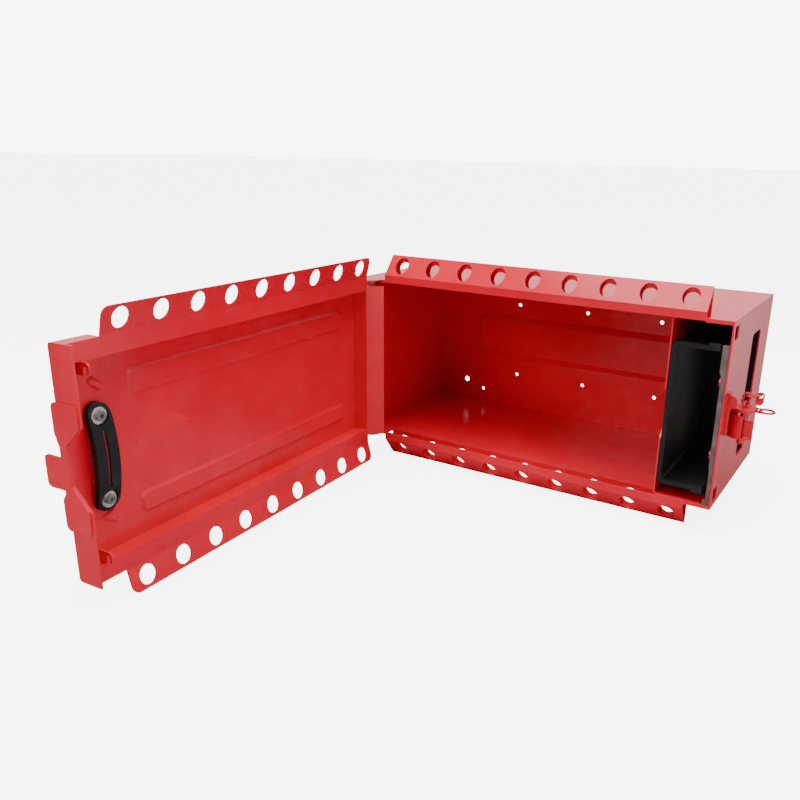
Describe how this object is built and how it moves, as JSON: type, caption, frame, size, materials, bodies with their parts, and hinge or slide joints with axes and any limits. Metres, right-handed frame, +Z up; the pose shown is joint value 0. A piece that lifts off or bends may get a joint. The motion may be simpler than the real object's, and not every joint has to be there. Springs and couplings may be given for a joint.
{
  "type": "group lockout box",
  "caption": "Red sheet-steel group lockout box with a hinged key door, padlock holes along both long flanges, a sliding latch and a black hand-hole pocket.",
  "frame": {"origin": "on the door hinge axis, level with the outside of the lower long wall", "axes": "+X along the length from the hinge end to the latch end, +Y from the front opening to the back wall, +Z up from the lower to the upper long wall (the hinge axis)"},
  "size_m": [0.4116, 0.5364, 0.213],
  "materials": {
    "red_shell": "gloss powder coat",
    "zinc": "zinc plated",
    "black_plastic": "moulded, fine texture",
    "black_rubber": "matte",
    "bright_steel": "plain, turned"
  },
  "bodies": {
    "box": {"body_shell": "red_shell", "partition": "red_shell", "partition_rivets": "red_shell", "hand_pocket": "black_plastic", "pocket_screws": "bright_steel", "latch_guard": "red_shell", "guard_rivets": "red_shell", "guide_studs": "red_shell", "hinge_pins": "red_shell", "hinge_washers": "zinc"},
    "door": {"door_panel": "red_shell", "door_end_plate": "red_shell", "hinge_plate": "red_shell", "catch_tabs": "red_shell", "key_flap": "black_rubber", "flap_washers": "bright_steel", "flap_screws": "bright_steel", "flap_nuts": "bright_steel"},
    "latch": {"latch_bar": "zinc", "latch_knob": "red_shell"},
    "pin": {"captive_pin": "red_shell"},
    "ring": {"pull_ring": "red_shell"},
    "link_a": {"chain_link_a": "red_shell"},
    "link_b": {"chain_link_b": "red_shell"},
    "tag": {"chain_link_c": "red_shell"}
  },
  "joints": [
    {"name": "door_hinge", "type": "hinge", "parent": "box", "child": "door", "pos_m": [0, 0, 0], "axis": [0, 0, 1], "range_deg": [-45, 86.5]},
    {"name": "latch_slide", "type": "slide", "parent": "box", "child": "latch", "axis": [0, 0, 1], "range_m": [0, 0.0075]},
    {"name": "pin_pull", "type": "slide", "parent": "latch", "child": "pin", "axis": [0, 0, 1], "range_m": [0, 0.03]},
    {"name": "ring_swing", "type": "hinge", "parent": "pin", "child": "ring", "pos_m": [0.3799, 0.0328, 0.0875], "axis": [0, 1, 0], "range_deg": [-20, 75]},
    {"name": "chain_lift", "type": "hinge", "parent": "pin", "child": "link_a", "pos_m": [0.367, 0.0345, 0.0927], "axis": [0, 1, 0], "range_deg": [-12, 0]},
    {"name": "chain_fold", "type": "hinge", "parent": "link_a", "child": "link_b", "pos_m": [0.3681, 0.0345, 0.09788], "axis": [0, 1, 0], "range_deg": [-25, 0]},
    {"name": "tag_swing", "type": "hinge", "parent": "link_b", "child": "tag", "pos_m": [0.37886, 0.0345, 0.10017], "axis": [0, 1, 0], "range_deg": [-15, 15]}
  ]
}
